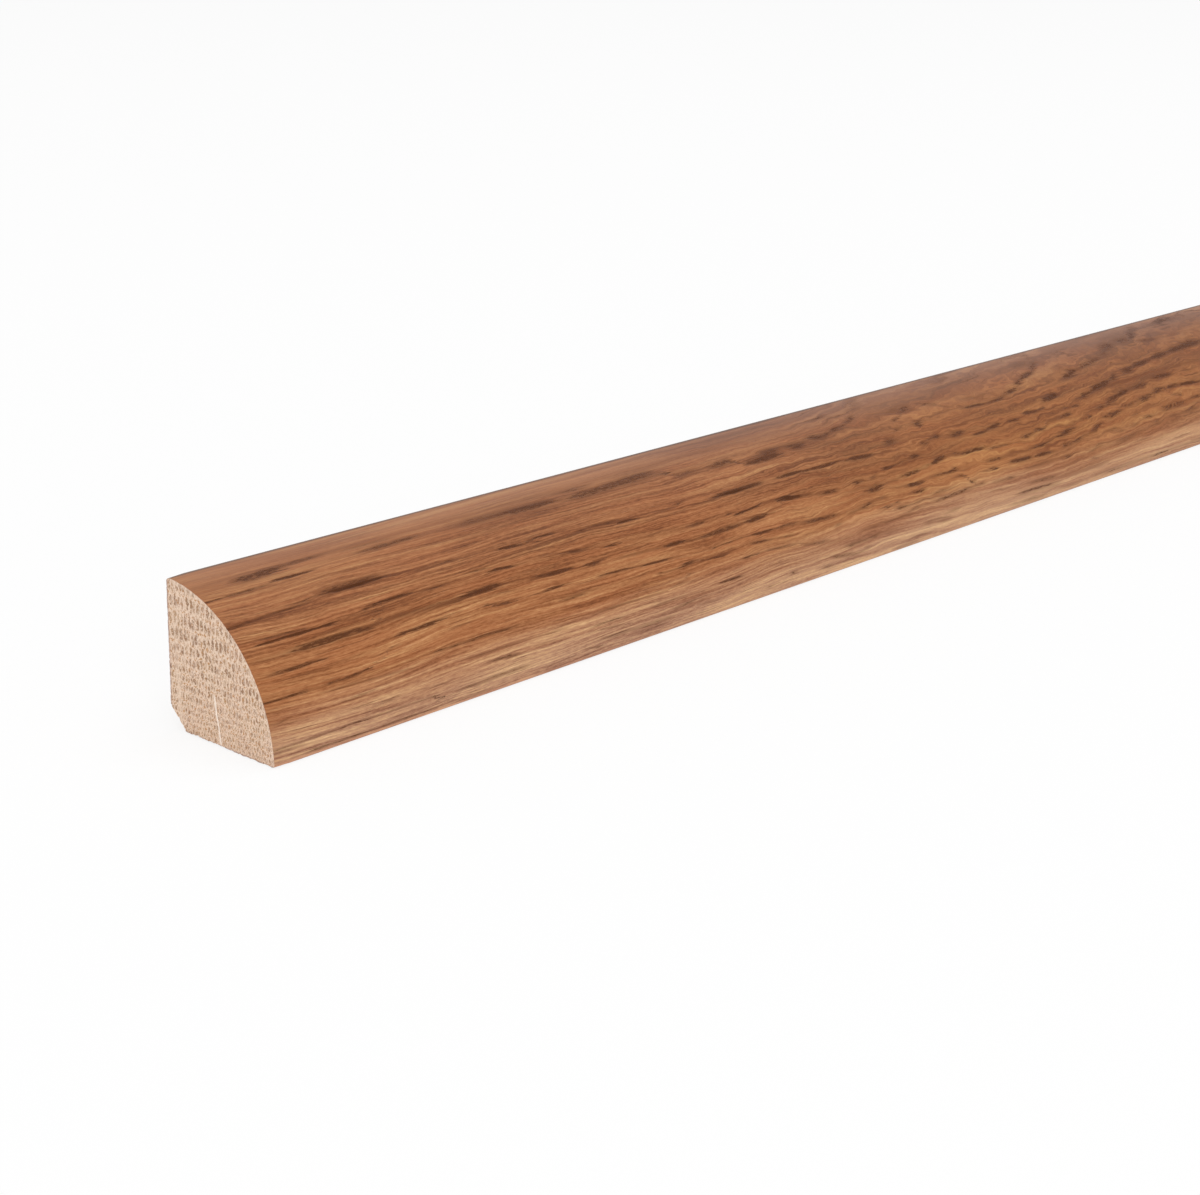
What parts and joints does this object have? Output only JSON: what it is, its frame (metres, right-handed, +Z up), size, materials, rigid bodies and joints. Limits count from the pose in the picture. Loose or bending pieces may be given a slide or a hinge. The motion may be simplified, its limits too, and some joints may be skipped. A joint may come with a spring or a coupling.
{
  "type": "quarter round moulding",
  "caption": "Straight solid oak quarter round moulding stick: flat wall face, flat floor face, chamfered heel, rounded room face; covers the gap where a floor meets a wall.",
  "frame": {"origin": "middle of the rectangle that the stick stands on: half way along its length, half way between wall face and toe, at the floor", "axes": "+X along the stick, +Y towards the wall, out of the flat wall face, +Z up, away from the floor face; the rounded face looks to -Y and +Z"},
  "size_m": [1.9812, 0.019, 0.019],
  "materials": {
    "stained_oak": "satin"
  },
  "bodies": {
    "root": {"quarter_round": "stained_oak"}
  },
  "joints": []
}
